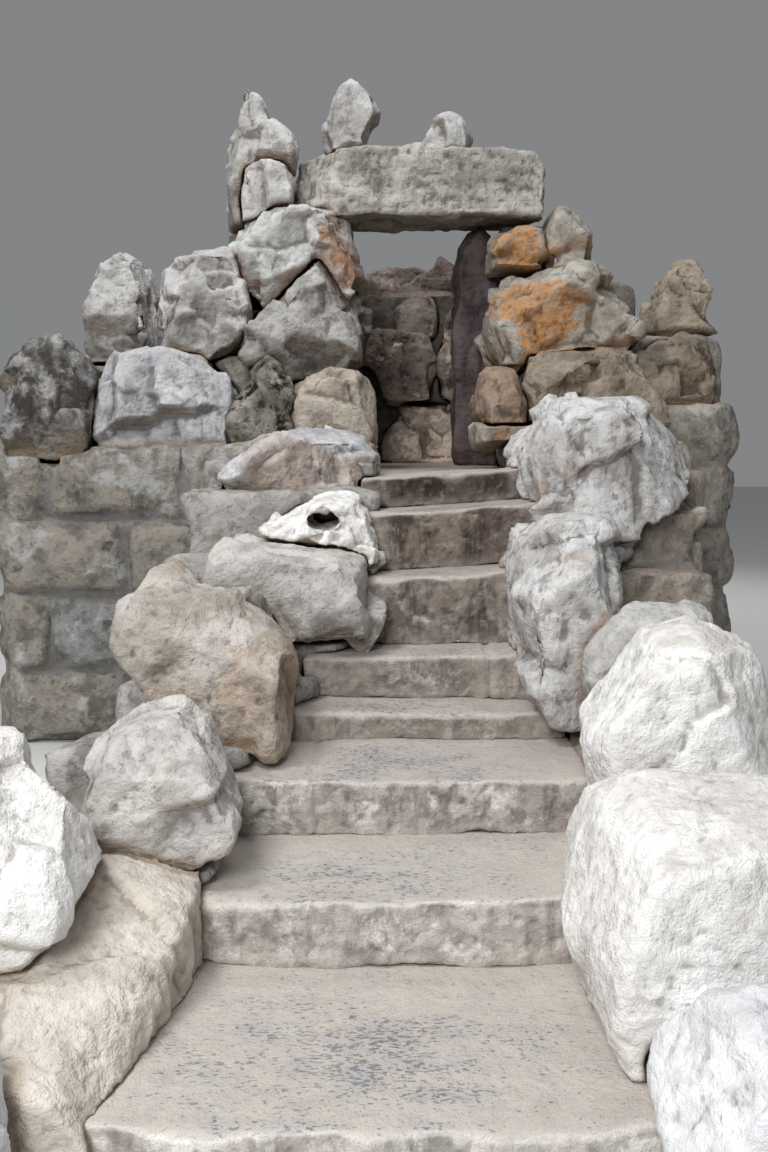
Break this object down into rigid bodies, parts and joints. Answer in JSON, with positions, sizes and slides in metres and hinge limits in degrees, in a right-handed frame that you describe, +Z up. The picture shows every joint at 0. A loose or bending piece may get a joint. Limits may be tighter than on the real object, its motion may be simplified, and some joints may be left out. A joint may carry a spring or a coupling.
{
  "type": "garden stone stair with boulder flanks and doorway",
  "caption": "Worn stone steps climbing between limestone boulders to a landing and a low doorway under a lintel stone in a boulder wall.",
  "frame": {"origin": "foot of the lowest step, at the middle of its front face, on the base plane", "axes": "+X to the right of someone climbing, +Y the way they climb, +Z up"},
  "size_m": [4.3966, 7.2945, 3.8967],
  "materials": {
    "tread_stone": "worn rough stone, dusty treads and stained risers",
    "white_limestone": "rough sun-bleached limestone",
    "grey_limestone": "rough mottled limestone",
    "tan_limestone": "rough tan limestone",
    "ochre_limestone": "iron-stained limestone",
    "dark_limestone": "shaded, weathered limestone",
    "rubble_masonry": "rubble stone in lime mortar"
  },
  "bodies": {
    "root": {"step_1": "tread_stone", "step_2": "tread_stone", "step_3": "tread_stone", "step_4": "tread_stone", "step_5": "tread_stone", "step_6": "tread_stone", "step_7": "tread_stone", "step_8": "tread_stone", "floor_flags": "tread_stone", "foot_boulders": "white_limestone", "left_white_boulder": "white_limestone", "right_great_boulder": "white_limestone", "right_white_boulder": "white_limestone", "left_pierced_rock": "white_limestone", "crest_stones": "white_limestone", "lintel_end_block": "white_limestone", "left_wedge_boulder": "grey_limestone", "left_saddle_boulder": "grey_limestone", "left_shelf_rock": "grey_limestone", "left_shoulder_boulder": "grey_limestone", "right_rib_rock": "grey_limestone", "right_bed_slab": "grey_limestone", "right_crest_rock": "grey_limestone", "rear_left_block": "grey_limestone", "rear_left_boulders": "grey_limestone", "rear_right_boulders": "grey_limestone", "jamb_tilted_boulder": "grey_limestone", "jamb_head_boulder": "grey_limestone", "moss_rock": "grey_limestone", "lintel": "grey_limestone", "left_ledge_rock": "tan_limestone", "jamb_base_block": "tan_limestone", "right_stack_rock": "tan_limestone", "right_tilted_slab": "tan_limestone", "right_jamb_boulder": "ochre_limestone", "right_jamb_stones": "ochre_limestone", "right_jamb_pier": "dark_limestone", "screen_rocks": "dark_limestone", "stair_bed": "rubble_masonry", "landing_bed": "rubble_masonry", "left_flank_wall": "rubble_masonry", "right_flank_wall": "rubble_masonry", "rear_wall_left": "rubble_masonry", "rear_wall_right": "rubble_masonry", "screen_wall": "rubble_masonry"}
  },
  "joints": []
}
